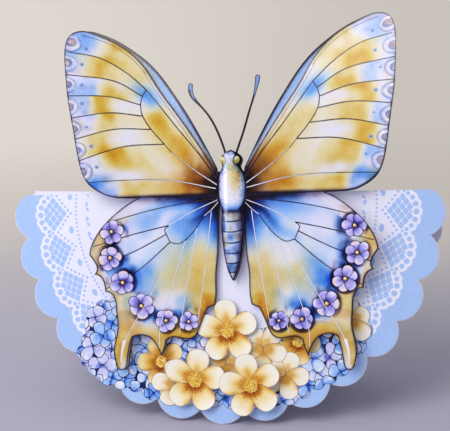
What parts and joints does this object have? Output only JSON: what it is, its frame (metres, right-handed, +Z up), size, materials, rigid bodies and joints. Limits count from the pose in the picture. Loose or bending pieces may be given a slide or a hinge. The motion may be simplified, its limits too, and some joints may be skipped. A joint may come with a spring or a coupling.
{
  "type": "rocker card",
  "caption": "Folded scalloped half-round greeting card that stands like a tent, with a lace-print front and layered cut-paper butterfly and flowers on foam pads.",
  "frame": {"origin": "on the table the card stands on, below the fold, midway between the front and rear feet", "axes": "+X across the card to the viewer's right, along the fold; +Y from the decorated front to the back; +Z up"},
  "size_m": [0.1997, 0.0693, 0.1782],
  "materials": {
    "white_card": "matt",
    "lace_print": "glossy photo print",
    "spray_print": "glossy photo print",
    "wing_print": "glossy photo print",
    "body_print": "glossy photo print",
    "flower_print": "glossy photo print",
    "foam_pad": "matt foam"
  },
  "bodies": {
    "root": {"base_pad_1": "foam_pad", "base_pad_2": "foam_pad", "base_pad_3": "foam_pad", "base_pad_4": "foam_pad", "base_pad_5": "foam_pad", "base_pad_6": "foam_pad", "base_pad_7": "foam_pad", "base_pad_8": "foam_pad", "base_pad_9": "foam_pad", "body_pad_1": "foam_pad", "body_pad_2": "foam_pad", "butterfly_base": "wing_print", "butterfly_body": "body_print", "butterfly_wings": "wing_print", "card_blank": "white_card", "flower_centre": "flower_print", "flower_centre_pad_1": "foam_pad", "flower_left": "flower_print", "flower_left_pad_1": "foam_pad", "flower_left_pad_2": "foam_pad", "flower_right": "flower_print", "flower_right_pad_1": "foam_pad", "flower_right_pad_2": "foam_pad", "flower_right_pad_3": "foam_pad", "flower_spray": "spray_print", "lace_front": "lace_print", "wing_pad_1": "foam_pad", "wing_pad_2": "foam_pad", "wing_pad_3": "foam_pad", "wing_pad_4": "foam_pad", "wing_pad_5": "foam_pad", "wing_pad_6": "foam_pad"}
  },
  "joints": []
}
